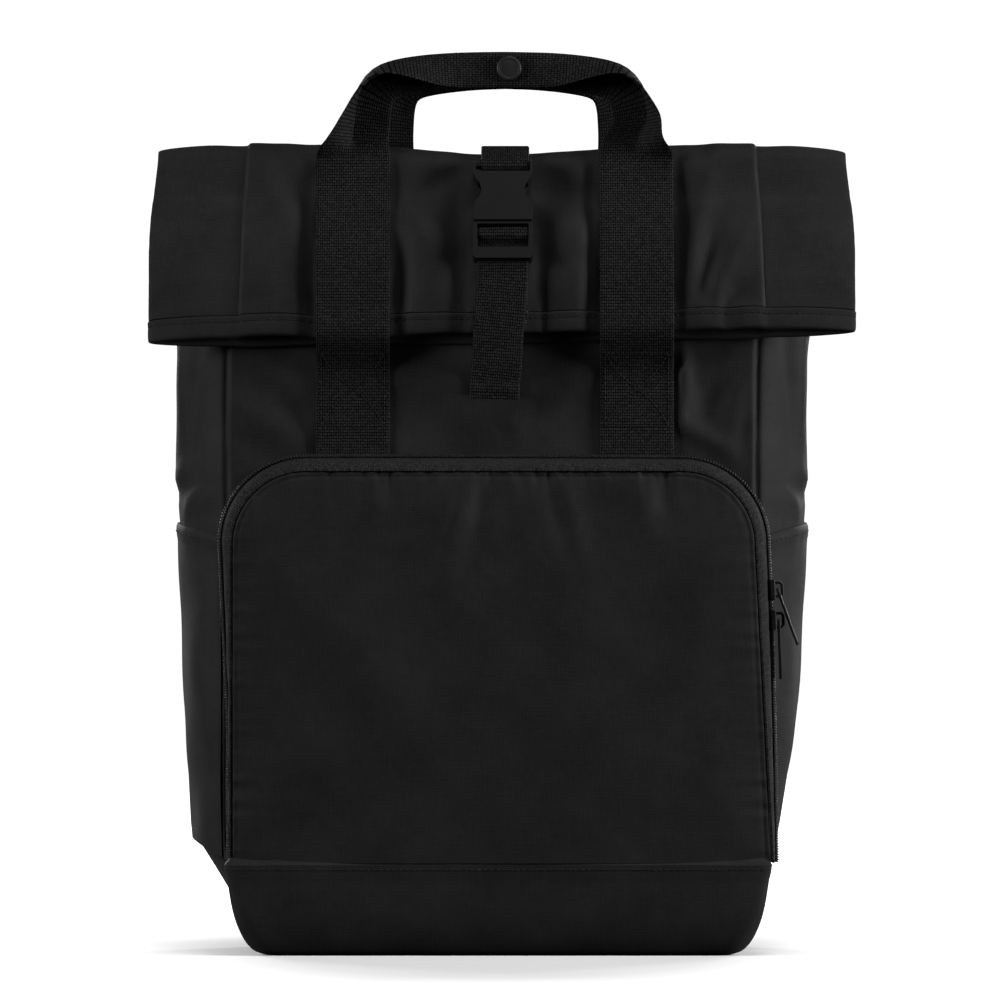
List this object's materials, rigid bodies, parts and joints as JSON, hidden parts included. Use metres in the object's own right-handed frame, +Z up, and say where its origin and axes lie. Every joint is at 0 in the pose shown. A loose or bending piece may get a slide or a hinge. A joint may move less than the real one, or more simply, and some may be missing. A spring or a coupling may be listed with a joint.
{
  "type": "rolltop backpack",
  "caption": "Cloth backpack with a mouth folded over its front under a buckled strap, a zipped front pocket, slip side pockets, webbing carry handles and padded shoulder straps.",
  "frame": {"origin": "middle of the flat floor of the bag's main body, on the ground", "axes": "+X to the right seen from the front, +Y towards the back, +Z up"},
  "size_m": [0.363, 0.1649, 0.4638],
  "materials": {
    "shell_cloth": "plain woven polyester, matt",
    "webbing": "ribbed woven webbing, matt",
    "zip_tape": "twill tape, matt",
    "zip_coil": "fine moulded coil, satin",
    "buckle_plastic": "moulded, satin",
    "stud": "dark enamel, satin",
    "slider": "dark enamel, satin",
    "strap_pad": "cloth over foam, matt"
  },
  "bodies": {
    "bag": {"front_panel": "shell_cloth", "back_panel": "shell_cloth", "gusset_left": "shell_cloth", "gusset_right": "shell_cloth", "mouth_hem": "shell_cloth", "base_tray": "shell_cloth", "side_pocket_left": "shell_cloth", "side_pocket_right": "shell_cloth", "pocket_face": "shell_cloth", "pocket_gusset": "shell_cloth", "pocket_base_panel": "shell_cloth", "zip_tape": "zip_tape", "zip_coil": "zip_coil", "front_handle": "webbing", "rear_handle": "webbing", "closure_strap_upper": "webbing", "closure_strap_lower": "webbing", "stud_cap": "stud", "stud_post": "stud", "buckle_socket": "buckle_plastic", "buckle_prongs": "buckle_plastic", "shoulder_pad_left": "strap_pad", "shoulder_pad_right": "strap_pad", "adjuster_left": "buckle_plastic", "adjuster_right": "buckle_plastic", "pad_loop_left": "webbing", "pad_loop_right": "webbing", "lower_webbing_left": "webbing", "lower_webbing_right": "webbing", "slider_upper": "slider", "slider_lower": "slider"},
    "upper_pull": {"pull_upper": "slider"},
    "lower_pull": {"pull_lower": "slider"}
  },
  "joints": [
    {"name": "upper_pull_swing", "type": "hinge", "parent": "bag", "child": "upper_pull", "pos_m": [0.14183, -0.05679, 0.18678], "axis": [0, -1, 0], "range_deg": [0, 150]},
    {"name": "lower_pull_swing", "type": "hinge", "parent": "bag", "child": "lower_pull", "pos_m": [0.1424, -0.05668, 0.17117], "axis": [0, -1, 0], "range_deg": [0, 15]}
  ]
}
